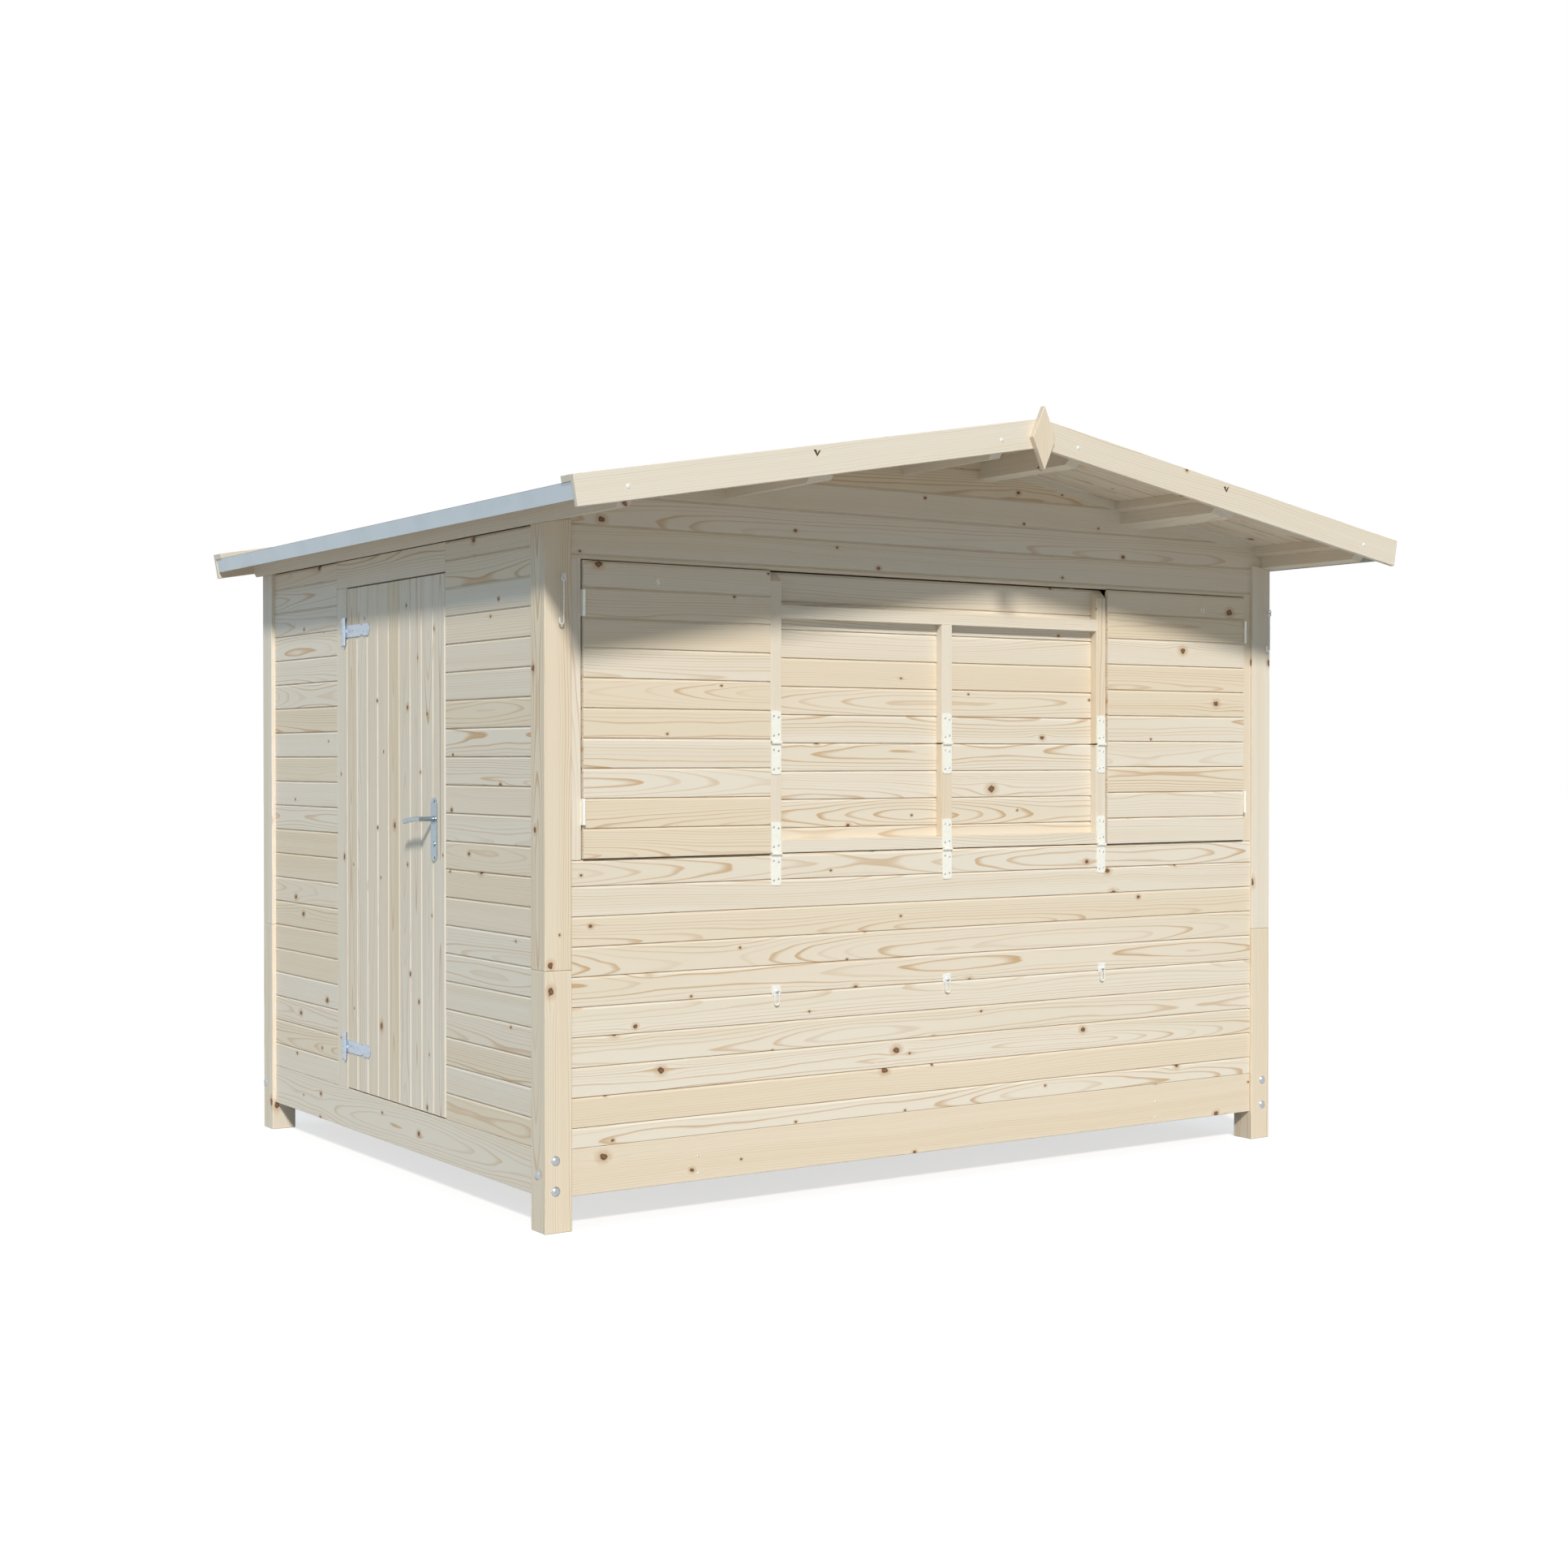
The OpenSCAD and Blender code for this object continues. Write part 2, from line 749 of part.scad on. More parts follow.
// One strap leaf reaching up from its pin along X; outer knuckles or the middle one
module strap_leaf(outer) {
    third = strap_w / 3;
    clear = knuckle_r + 0.5;
    y = -knuckle_y + cy0;
    tabs = outer ? [-third, third] : [0];
    difference() {
        union() {
            xz(y - leaf_t, y) {
                translate([-strap_w / 2, clear]) square([strap_w, strap_l - clear - strap_w / 4]);
                translate([-strap_w / 4, clear]) square([strap_w / 2, strap_l - clear]);
                for (s = [-1, 1]) translate([s * strap_w / 4, strap_l - strap_w / 4])
                    circle(r = strap_w / 4);
                for (t = tabs) translate([t - third / 2 + 0.2, 0]) square([third - 0.4, clear + 1]);
            }
            for (t = tabs) translate([t, 0, 0]) rotate([0, 90, 0]) knuckle(third - 0.4, false);
        }
        if (!outer)
            translate([-third, 0, 0]) rotate([0, 90, 0]) cylinder(r = pin_r + 0.3, h = 2 * third);
    }
    if (outer)
        translate([-strap_w / 2, 0, 0]) rotate([0, 90, 0]) cylinder(r = pin_r, h = strap_w);
}

module sill_hinge_leaves() {
    color(zinc) for (x = stile_x)
        translate([x, knuckle_y, sill_axis_z]) mirror([0, 0, 1]) strap_leaf(true);
}

module counter_straps() {
    color(zinc) for (x = stile_x) {
        translate([x, knuckle_y, sill_axis_z]) strap_leaf(false);
        translate([x, knuckle_y, fold_z]) mirror([0, 0, 1]) strap_leaf(true);
    }
}

module brace_straps() {
    color(zinc) for (x = stile_x)
        translate([x, knuckle_y, fold_z]) strap_leaf(false);
}

// Staples below the hatch, each with a snap hook hanging from it
module half_ring(ring_r, wire_r) {
    rotate_extrude(angle = 180) translate([ring_r, 0]) circle(r = wire_r, $fn = 24);
}

module staple() {
    wire = 2.2;
    block([-staple_s / 2, -2, -staple_s / 2], [staple_s / 2, 0, staple_s / 2]);
    translate([0, -4, 0]) rotate([180, 0, 0]) half_ring(7, wire);
    for (s = [-1, 1]) translate([7 * s, -4, 0]) rotate([-90, 0, 0]) cylinder(r = wire, h = 3);
    translate([0, -6, -4]) {
        rotate([90, 0, 0]) half_ring(8, wire);
        translate([0, 0, -34]) rotate([-90, 0, 0]) half_ring(8, wire);
        for (s = [-1, 1]) translate([8 * s, 0, -34]) cylinder(r = wire, h = 34);
    }
}

module staples() {
    color(zinc) for (x = staple_xs) translate([x, cy0, sill_z - staple_drop]) staple();
}

// Cabin hooks hanging from screw eyes on the front posts
module cabin_hook() {
    wire = 2.2;
    eye_w = 1.8;
    y = -14;
    top = -7 + eye_w + wire + 0.3;
    bend_z = 9 - hook_l;
    screw_eye();
    translate([0, y, top - 6]) rotate([90, 0, 0]) rotate_extrude() translate([6, 0])
        circle(r = wire, $fn = 24);
    translate([0, y, bend_z]) cylinder(r = wire, h = top - 12 - bend_z);
    translate([-7, y, bend_z]) rotate([-90, 0, 0]) half_ring(7, wire);
    translate([-14, y, bend_z]) cylinder(r = wire, h = 12);
}

module cabin_hooks() {
    xs = [hook_from_edge[0] - hx, hx - hook_from_edge[1]];
    color(zinc) for (x = xs) translate([x, py0, post_h - hook_drop]) cabin_hook();
}

// A domed head standing out along Z
module bolt_head() {
    big = (bolt_r * bolt_r + bolt_h * bolt_h) / (2 * bolt_h);
    rotate_extrude() intersection() {
        translate([0, bolt_h - big]) circle(r = big, $fn = 96);
        square([bolt_r + 1, bolt_h + 1]);
    }
}

module coach_bolts() {
    side_z = base_z + base_h / 2;
    side_ys = [py0 + post_s / 2, py1 - post_s / 4.4];
    color(zinc) both_sides() {
        for (dz = bolt_zs) {
            translate([hx - bolt_in, py0, base_z + dz]) rotate([90, 0, 0]) bolt_head();
            translate([hx - bolt_in, py1, base_z + dz]) rotate([-90, 0, 0]) bolt_head();
        }
        for (y = side_ys) translate([hx, y, side_z]) rotate([0, 90, 0]) bolt_head();
    }
}

post_front_left();
post_front_right();
post_back_left();
post_back_right();
base_boards();
floor_joists();
floor_deck();
front_wall();
front_strips();
front_gable();
back_wall();
right_wall();
left_wall_front();
left_wall_rear();
door_trim();
door_frame();
hatch_frame();
ridge_purlins();
mid_purlins();
eave_purlins();
roof_battens();
gable_rails();
roof_deck();
roof_felt();
drip_edges();
barge_boards();
barge_caps();
finial();
door();
door_hinge_leaves();
door_straps();
handle_plates();
door_lever();
left_shutter();
right_shutter();
shutter_hinge_leaves();
left_shutter_fittings();
right_shutter_fittings();
counter_boards();
counter_battens();
brace_boards();
brace_battens();
sill_hinge_leaves();
counter_straps();
brace_straps();
staples();
cabin_hooks();
coach_bolts();
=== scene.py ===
# %% [markdown]
# # A wooden market hut
# The hut is a timber building: posts, cladding boards, a door, a hatch with shutters and a folding
# counter, and a low gable roof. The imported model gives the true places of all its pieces. This
# lesson turns its plain plates into boards with eased edges and grain, and finishes the metal.

# %% Load the frame
import math
import random

import bmesh
import bpy
from mathutils import Matrix, Vector


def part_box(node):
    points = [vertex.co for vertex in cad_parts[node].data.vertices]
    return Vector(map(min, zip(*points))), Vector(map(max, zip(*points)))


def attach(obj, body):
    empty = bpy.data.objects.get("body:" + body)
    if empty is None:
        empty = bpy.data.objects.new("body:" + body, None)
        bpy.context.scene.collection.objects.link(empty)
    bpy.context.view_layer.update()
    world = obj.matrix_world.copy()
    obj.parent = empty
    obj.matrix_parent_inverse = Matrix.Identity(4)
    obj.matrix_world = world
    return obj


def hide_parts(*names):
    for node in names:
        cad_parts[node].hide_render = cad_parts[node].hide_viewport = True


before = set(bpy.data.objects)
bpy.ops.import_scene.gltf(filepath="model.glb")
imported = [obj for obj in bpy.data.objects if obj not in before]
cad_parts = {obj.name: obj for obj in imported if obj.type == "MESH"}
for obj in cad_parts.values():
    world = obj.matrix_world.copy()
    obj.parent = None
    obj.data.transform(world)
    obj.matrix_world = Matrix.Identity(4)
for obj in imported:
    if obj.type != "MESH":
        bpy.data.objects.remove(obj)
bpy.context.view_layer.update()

MM = 0.001
print("pieces in the frame:", len(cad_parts))

# %% [markdown]
# The camera stands a little above the middle of the hut's height, off its front left corner, and
# looks almost level, so that upright edges stay upright.

# %% Camera
TILT_DOWN = 0.661
TURN_RIGHT = 33.811
camera_data = bpy.data.cameras.new("camera")
camera_data.lens = 50.24
camera_data.sensor_width = 36.0
camera_data.clip_end = 200.0
camera = bpy.data.objects.new("camera", camera_data)
camera.location = (-4.4976, -6.6948, 1.403)
camera.rotation_euler = (math.radians(90 - TILT_DOWN), 0.0, math.radians(-TURN_RIGHT))
bpy.context.collection.objects.link(camera)
bpy.context.scene.camera = camera

# %% [markdown]
# A big surround gives the soft light, and one wide sun from the front left shapes it: it shades
# the gable under the roof and leaves the door side calmer than the front. A weak, cool and very
# wide lamp lifts the door side. The surround is plain white to the camera and in reflections,
# whatever its strength as a light. The floor glows a little in the same way, so it stays pale
# under the hut.

# %% Light and floor
SKY_STRENGTH = 0.23
SKY_COLOUR = (0.68, 0.90, 1.0, 1.0)
FLOOR_TONE = 0.42
FLOOR_GLOW = 0.66


def lamp(name, direction, strength, width, tint):
    """A lamp as far away as the sun; width is how many degrees of the sky it fills."""
    data = bpy.data.lights.new(name, "SUN")
    data.energy = strength
    data.angle = math.radians(width)
    data.color = tint
    made = bpy.data.objects.new(name, data)
    made.rotation_euler = Vector(direction).to_track_quat("-Z", "Y").to_euler()
    bpy.context.collection.objects.link(made)


lamp("sun", (0.53, 1.0, -0.84), 3.15, 6, (1.0, 0.965, 0.90))
lamp("fill", (1.0, 0.1, -0.25), 0.5, 80, (0.35, 0.65, 1.0))

world = bpy.data.worlds.new("surround")
bpy.context.scene.world = world
world.use_nodes = True
nodes = world.node_tree.nodes
links = world.node_tree.links
sky = nodes["Background"]
sky.inputs["Color"].default_value = SKY_COLOUR
sky.inputs["Strength"].default_value = SKY_STRENGTH
backdrop = nodes.new("ShaderNodeBackground")
backdrop.inputs["Color"].default_value = (1, 1, 1, 1)


def seen_by_eye(tree):
    """1 for the rays of the camera, of mirrors and of glass, and 0 for those that carry light."""
    path = tree.nodes.new("ShaderNodeLightPath")
    seen = path.outputs["Is Camera Ray"]
    for ray in ("Is Glossy Ray", "Is Transmission Ray"):
        either = tree.nodes.new("ShaderNodeMath")
        either.operation = "MAXIMUM"
        tree.links.new(seen, either.inputs[0])
        tree.links.new(path.outputs[ray], either.inputs[1])
        seen = either.outputs[0]
    return seen


mix = nodes.new("ShaderNodeMixShader")
links.new(seen_by_eye(world.node_tree), mix.inputs[0])
links.new(sky.outputs[0], mix.inputs[1])
links.new(backdrop.outputs[0], mix.inputs[2])
links.new(mix.outputs[0], nodes["World Output"].inputs["Surface"])
bpy.context.scene.view_settings.view_transform = "Standard"

floor_mesh = bpy.data.meshes.new("floor")
floor_mesh.from_pydata([(-60, -60, 0), (60, -60, 0), (60, 60, 0), (-60, 60, 0)], [], [(0, 1, 2, 3)])
floor = bpy.data.objects.new("floor", floor_mesh)
bpy.context.collection.objects.link(floor)
floor_paint = bpy.data.materials.new("pale_floor")
floor_paint.use_nodes = True
floor_shader = floor_paint.node_tree.nodes["Principled BSDF"]
floor_shader.inputs["Base Color"].default_value = (FLOOR_TONE, FLOOR_TONE, FLOOR_TONE, 1)
floor_shader.inputs["Roughness"].default_value = 0.9
floor_shader.inputs["Emission Strength"].default_value = 1.0
glow = floor_paint.node_tree.nodes.new("ShaderNodeMath")
glow.operation = "MULTIPLY"
glow.inputs[1].default_value = FLOOR_GLOW
floor_paint.node_tree.links.new(seen_by_eye(floor_paint.node_tree), glow.inputs[0])
floor_paint.node_tree.links.new(glow.outputs[0], floor_shader.inputs["Emission Color"])
floor_mesh.materials.append(floor_paint)

# %% [markdown]
# Shader maths reads best as sums. A small class wraps a socket, so that `1 - mask` or `u * 4` adds
# the Math node it needs, and one method makes every other kind of node. Most finishes are drawn in
# the object's own metres, which a second helper gives.

# %% Shader helper
class Wire:
    def __init__(self, tree, socket):
        self.tree = tree
        self.socket = socket

    def math(self, operation, *others):
        node = self.tree.nodes.new("ShaderNodeMath")
        node.operation = operation
        for slot, value in enumerate((self, *others)):
            if isinstance(value, Wire):
                self.tree.links.new(value.socket, node.inputs[slot])
            else:
                node.inputs[slot].default_value = value
        return Wire(self.tree, node.outputs[0])

    def __add__(self, other):
        return self.math("ADD", other)

    def __radd__(self, other):
        return self.math("ADD", other)

    def __sub__(self, other):
        return self.math("SUBTRACT", other)

    def __rsub__(self, other):
        return (self * -1.0).math("ADD", other)

    def __mul__(self, other):
        return self.math("MULTIPLY", other)

    def __rmul__(self, other):
        return self.math("MULTIPLY", other)

    def __truediv__(self, other):
        return self.math("DIVIDE", other)

    def __pow__(self, other):
        return self.math("POWER", other)

    def ramp(self, low, high):
        """0 below low, 1 above high, smooth between."""
        return self.node("ShaderNodeMapRange", {"interpolation_type": "SMOOTHSTEP"},
                         {0: self, 1: low, 2: high, 3: 0.0, 4: 1.0})

    def node(self, kind, settings, sockets, output=0):
        made = self.tree.nodes.new(kind)
        for key, value in settings.items():
            setattr(made, key, value)
        for key, value in sockets.items():
            if isinstance(value, Wire):
                self.tree.links.new(value.socket, made.inputs[key])
            else:
                made.inputs[key].default_value = value
        return Wire(self.tree, made.outputs[output])

    def vector(self, x, y, z):
        return self.node("ShaderNodeCombineXYZ", {}, {0: x, 1: y, 2: z})

    def part(self, axis):
        return self.node("ShaderNodeSeparateXYZ", {}, {0: self}, axis)

    def blend(self, first, second):
        """Colour between first and second, with self as the factor."""
        return self.node("ShaderNodeMix", {"data_type": "RGBA"}, {0: self, 6: first, 7: second}, 2)


def new_material(name, roughness, metallic=0.0):
    material = bpy.data.materials.new(name)
    material.use_nodes = True
    shader = material.node_tree.nodes["Principled BSDF"]
    shader.inputs["Roughness"].default_value = roughness
    shader.inputs["Metallic"].default_value = metallic
    return material, material.node_tree, shader


def object_metres(tree):
    return Wire(tree, tree.nodes.new("ShaderNodeTexCoord").outputs["Object"])


def colour(red, green, blue):
    """A display colour, 0 to 255, as the linear value that a shader takes."""
    values = [c / 255 for c in (red, green, blue)]
    return (*[v / 12.92 if v < 0.04045 else ((v + 0.055) / 1.055) ** 2.4 for v in values], 1.0)


# %% [markdown]
# Spruce is nearly white, with tan growth rings, fine fibres, and brown knots that push the rings
# aside. A board is a flat slice of a trunk, so every ring is a line at one distance from the heart
# of the tree, and a heart that wanders along the board makes the lines run long and arch here and
# there. Rings far from the heart are calmer, and some boards are more yellow than others. All of
# it is drawn in metres: u runs along the board and v across it. Cells of a Voronoi pattern place
# the knots, and the distance to a cell's own point gives the dark rim and bends the rings.

# %% Spruce
PALE = colour(231, 222, 208)
WARM = colour(224, 212, 191)
HONEY = colour(226, 205, 172)
TAN = colour(198, 165, 126)
KNOT = colour(118, 70, 38)
KNOT_RIM = colour(52, 31, 21)
RING_GAP = 0.0072
CELLS_ALONG, CELLS_ACROSS = 2.3, 9.0
KNOT_LEAST, KNOT_SPREAD = 0.0028, 0.0065
BEAM_SEED = 3.7


def spruce(name, grain_axis=None):
    """Wood whose grain runs along the UV map's u, or along an object axis."""
    material, tree, shader = new_material(name, 0.62)
    if grain_axis is None:
        place = Wire(tree, tree.nodes.new("ShaderNodeTexCoord").outputs["UV"])
        u, v = place.part(0), place.part(1)
        board = Wire(tree, tree.nodes.new("ShaderNodeAttribute").outputs["Vector"])
        board.socket.node.attribute_name = "board"
        seed, side, depth = board.part(0), v - board.part(1), board.part(2)
    else:
        place = object_metres(tree)
        u, side, depth = [place.part((grain_axis + k) % 3) for k in range(3)]
        v = side + depth * 0.83
        seed = u * 0.0 + BEAM_SEED

    def noise(x, y, detail=0.0, output=0):
        return u.node("ShaderNodeTexNoise", {}, {"Vector": u.vector(x, y, seed), "Scale": 1.0,
                                                 "Detail": detail}, output)

    cell = u.vector(u * CELLS_ALONG, v * CELLS_ACROSS + seed * 5.0, 0.0)
    luck, near = [cell.node("ShaderNodeTexVoronoi", {"voronoi_dimensions": "2D"},
                            {"Vector": cell, "Scale": 1.0}, output) for output in (1, 2)]
    du = u - near.part(0) / CELLS_ALONG
    dv = v - (near.part(1) - seed * 5.0) / CELLS_ACROSS
    size = KNOT_LEAST + KNOT_SPREAD * luck.part(0) ** 3.0
    there = luck.part(1).math("GREATER_THAN", 0.40)
    ragged = (noise(u * 90, v * 90) - 0.5) * 0.9
    reach = ((du * 0.75) ** 2.0 + dv ** 2.0).math("SQRT") / size + ragged
    flow = ((du * 0.3) ** 2.0 + dv ** 2.0).math("SQRT") / size
    push = there / (1.0 + (flow * 0.36) ** 4.0)

    drift = noise(u * 0.8, 0.0, 1.0, 1)
    side = side - dv * push * 0.85 + (drift.part(0) - 0.5) * 0.06
    depth = depth + (drift.part(1) - 0.5) * 0.10
    waver = (noise(u * 4.0, v * 26.0, 1.0) - 0.5) * 0.007
    radius = (side ** 2.0 + depth ** 2.0).math("SQRT") + waver
    turn = (radius / RING_GAP).math("FRACT")
    calm = 1.0 - side.math("ABSOLUTE").ramp(0.03, 0.09) * 0.5
    line = turn.ramp(0.62, 0.92) * (1.0 - turn.ramp(0.93, 1.0)) * calm
    year = noise(radius * 75.0, 4.0, 1.0).ramp(0.36, 0.68)
    band = noise(radius * 22.0, u * 0.35, 1.0).ramp(0.4, 0.7)
    fibre = noise(u * 9.0, v * 650.0, 2.0)
    lot = (seed * 7.31).math("FRACT").ramp(0.45, 1.0) * 0.45
    base = lot.blend((band * 0.5 + 0.1).blend(PALE, WARM), HONEY)
    veined = (line * (0.22 + 0.76 * year) + (fibre - 0.5) * 0.25).blend(base, TAN)
    inside = there * (1.0 - reach.ramp(0.8, 1.1))
    halo = there * (1.0 - reach.ramp(0.9, 3.4)) * 0.7
    rim = there * reach.ramp(0.5, 0.85) * (1.0 - reach.ramp(0.95, 1.3))
    knotted = (inside * 0.9).blend(halo.blend(veined, TAN), KNOT)
    final = (rim * 0.75).blend(knotted, KNOT_RIM)
    tree.links.new(final.socket, shader.inputs["Base Color"])
    height = fibre * 0.6 + line * 0.4 - inside * 0.4
    bump = height.node("ShaderNodeBump", {},
                       {"Height": height, "Strength": 0.25, "Distance": 0.0006})
    tree.links.new(bump.socket, shader.inputs["Normal"])
    tree.links.new((0.58 + 0.12 * fibre).socket, shader.inputs["Roughness"])
    return material


board_wood = spruce("spruce_boards")
beam_wood = {axis: spruce("spruce_beams_" + "xyz"[axis], axis) for axis in range(3)}

# %% [markdown]
# Cladding is sold as boards with a shaped edge: a wide bevel on one board meets a narrow slit on
# the next, so a joint shows as a shaded groove with a thin dark line. One helper makes that plank,
# and another makes any plain board: an outline in the plane of its grain and its width is pushed
# out to its thickness and its edges are eased. The UV map holds metres along and across the grain,
# moved by a random amount for each board so that no two look alike, and the board attribute says
# how far from the heart of the tree each one was cut. Frames are cut well away from it, so their
# grain is calm.

# %% Board helper
BEVEL_WIDE, BEVEL_DEEP = 7.5 * MM, 5 * MM
SLIT = 1.5 * MM
SLIT_EASE = 0.6 * MM
COVER = 90 * MM
SLIVER = 12 * MM


def spot(point):
    """A point to the nearest hundredth of a millimetre, which sorts the same on every run."""
    return tuple(round(c, 5) for c in point)


class Pile:
    """Boards that become one piece."""

    def __init__(self, seed, straight=False):
        self.points, self.faces, self.uvs, self.boards = [], [], [], []
        self.straight = straight
        self.random = random.Random(seed)

    def board(self, axes, outline, low, high, ease=1.2 * MM, turn=Matrix()):
        """axes names grain, width and thickness; outline holds (grain, width) pairs."""
        grain, width, deep = ["xyz".index(a) for a in axes]
        shape = bmesh.new()
        corners = []
        for a, b in outline:
            point = [0.0, 0.0, 0.0]
            point[grain], point[width], point[deep] = a, b, low
            corners.append(shape.verts.new(point))
        self.push(shape, corners, deep, high - low)
        bmesh.ops.bevel(shape, geom=shape.edges[:], offset=ease, segments=1, affect="EDGES",
                        clamp_overlap=True)
        self.add(shape, axes, turn)

    def bar(self, axes, low, high, ease=1.2 * MM):
        """A straight board between two corners."""
        grain, width, deep = ["xyz".index(a) for a in axes]
        outline = [(low[grain], low[width]), (high[grain], low[width]),
                   (high[grain], high[width]), (low[grain], high[width])]
        self.board(axes, outline, low[deep], high[deep], ease)

    def plank(self, axes, low, high, flip=False, cuts=(), turn=Matrix()):
        """A cladding board: a wide bevel on its high edge, and a narrow slit under its low edge."""
        grain, width, deep = ["xyz".index(a) for a in axes]
        a, b = (high[width], low[width]) if flip else (low[width], high[width])
        way = -1 if flip else 1
        front, back = low[deep], high[deep]
        slit, step, wide = a + way * SLIT, a + way * (SLIT + SLIT_EASE), b - way * BEVEL_WIDE
        shape = bmesh.new()
        corners = []
        for across, depth in (
                (a, front + BEVEL_DEEP), (slit, front + BEVEL_DEEP), (slit, front + SLIT_EASE),
                (step, front), (wide, front), (b, front + BEVEL_DEEP),
                (b, back - BEVEL_DEEP), (wide, back), (step, back),
                (slit, back - SLIT_EASE), (slit, back - BEVEL_DEEP), (a, back - BEVEL_DEEP)):
            point = [0.0, 0.0, 0.0]
            point[grain], point[width], point[deep] = low[grain], across, depth
            corners.append(shape.verts.new(point))
        self.push(shape, corners, grain, high[grain] - low[grain])
        for point, normal in cuts:
            everything = shape.verts[:] + shape.edges[:] + shape.faces[:]
            cut = bmesh.ops.bisect_plane(shape, geom=everything, plane_co=point, plane_no=normal,
                                         clear_outer=True, dist=1e-6)
            edges = [g for g in cut["geom_cut"] if isinstance(g, bmesh.types.BMEdge)]
            if edges:
                bmesh.ops.edgeloop_fill(shape, edges=edges)
        if shape.faces:
            self.add(shape, axes, turn)

    @staticmethod
    def push(shape, corners, axis, distance):
        face = shape.faces.new(corners)
        step = [0.0, 0.0, 0.0]
        step[axis] = distance
        pushed = bmesh.ops.extrude_face_region(shape, geom=[face])["geom"]
        moved = [g for g in pushed if isinstance(g, bmesh.types.BMVert)]
        bmesh.ops.translate(shape, vec=step, verts=moved)
        bmesh.ops.recalc_face_normals(shape, faces=shape.faces[:])

    def add(self, shape, axes, turn):
        """Keeps a board; sorting makes its points come in the same order on every run."""
        grain, width, deep = ["xyz".index(a) for a in axes]
        shift = self.random.uniform(0, 30)
        seed = self.random.uniform(0, 30)
        heart = self.random.uniform(-0.035, 0.035)
        if self.straight or self.random.random() < 0.4:
            heart += math.copysign(self.random.uniform(0.05, 0.12), heart)
        middle = sum(v.co[width] for v in shape.verts) / len(shape.verts)
        board = (seed, heart, self.random.uniform(0.024, 0.06))
        first = len(self.points)
        for index, vert in enumerate(sorted(shape.verts, key=lambda v: spot(v.co))):
            vert.index = index
        for vert in sorted(shape.verts, key=lambda v: v.index):
            self.points.append(turn @ vert.co)
            self.boards.extend(board)
        for face in sorted(shape.faces, key=lambda f: spot(f.calc_center_median())):
            n = [abs(c) for c in face.normal]
            start = min(range(len(face.verts)), key=lambda k: face.verts[k].index)
            ring = face.verts[start:] + face.verts[:start]
            self.faces.append([first + v.index for v in ring])
            for vert in ring:
                co = vert.co
                across = co[width] - middle
                if n[grain] > 0.8:
                    self.uvs.extend((co[deep] * 0.5 + shift, across))
                elif n[width] > 0.8:
                    across = co[deep] + 0.03 - self.points[first][deep]
                    self.uvs.extend((co[grain] + shift, across))
                else:
                    self.uvs.extend((co[grain] + shift, across))
        shape.free()

    def piece(self, name, body, *replaced):
        mesh = bpy.data.meshes.new(name)
        mesh.from_pydata(self.points, [], self.faces)
        mesh.uv_layers.new(name="grain").data.foreach_set("uv", self.uvs)
        board = mesh.attributes.new("board", "FLOAT_VECTOR", "POINT")
        board.data.foreach_set("vector", self.boards)
        mesh.materials.append(board_wood)
        made = bpy.data.objects.new(name, mesh)
        bpy.context.collection.objects.link(made)
        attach(made, body)
        if replaced:
            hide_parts(*replaced)
        print(name, len(self.faces), "faces")
        return made


def rows(low, high, groove, pitch=COVER):
    """Edges of boards between low and high, with one groove at a given place."""
    start = groove - math.floor((groove - low) / pitch + 1e-6) * pitch
    edges = [low]
    while start < high - SLIVER:
        if start > low + SLIVER:
            edges.append(start)
        start += pitch
    return list(zip(edges, edges[1:] + [high]))


# %% [markdown]
# Each post is two lengths of square timber, one on the other. The upper one is cut to the slope of
# the purlin it carries. Base boards run between the posts.

# %% Posts and base boards
SLOPE = math.radians(10)
JOINT_Z = 776 * MM
SEAM = 0.3 * MM
POST_EASE, WIDE_EASE = 2 * MM, 1.5 * MM
CORNERS = ("front_left", "front_right", "back_left", "back_right")
posts = Pile(1, straight=True)
for name in CORNERS:
    lo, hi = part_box("post_" + name)
    posts.bar("zxy", lo, (hi.x, hi.y, JOINT_Z - SEAM), POST_EASE)
    rise = (hi.x - lo.x) * math.tan(SLOPE)
    left, right = (0, rise) if "left" in name else (rise, 0)
    top = hi.z - rise
    posts.board("zxy", [(JOINT_Z + SEAM, lo.x), (top + left, lo.x), (top + right, hi.x),
                        (JOINT_Z + SEAM, hi.x)], lo.y, hi.y, POST_EASE)
posts.piece("post_timbers", "hut", *["post_" + n for n in CORNERS])

post_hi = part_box("post_front_left")[1]
inner_x = -post_hi.x
back_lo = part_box("post_back_right")[0]
base_lo, base_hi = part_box("base_boards")
BASE_T = 28 * MM
base = Pile(2)
for y in (base_lo.y, base_hi.y - BASE_T):
    base.bar("xzy", (-inner_x, y, base_lo.z), (inner_x, y + BASE_T, base_hi.z), WIDE_EASE)
for x in (base_lo.x, base_hi.x - BASE_T):
    base.bar("yzx", (x, post_hi.y, base_lo.z), (x + BASE_T, back_lo.y, base_hi.z), WIDE_EASE)
base.piece("base_timbers", "hut", "base_boards")

# %% [markdown]
# The walls are the same boards laid one on another. The grooves of the front and back line up at
# one height, and those of the sides at another. A low lip closes the joint under the panel.

# %% Walls
FRONT_GROOVE = 302.8 * MM
SIDE_GROOVE = 329.9 * MM
STRIP_W = 37 * MM
LIP_UP, LIP_DOWN, LIP_EASE = 2 * MM, 20 * MM, 0.4 * MM
GABLE_DROP, GABLE_TRIM = 2 * MM, 2 * MM


def clad(pile, axes, lo, hi, groove):
    """Fills a plate between two corners with boards stacked in height."""
    for z0, z1 in rows(lo[2], hi[2], groove):
        pile.plank(axes, (lo[0], lo[1], z0), (hi[0], hi[1], z1))


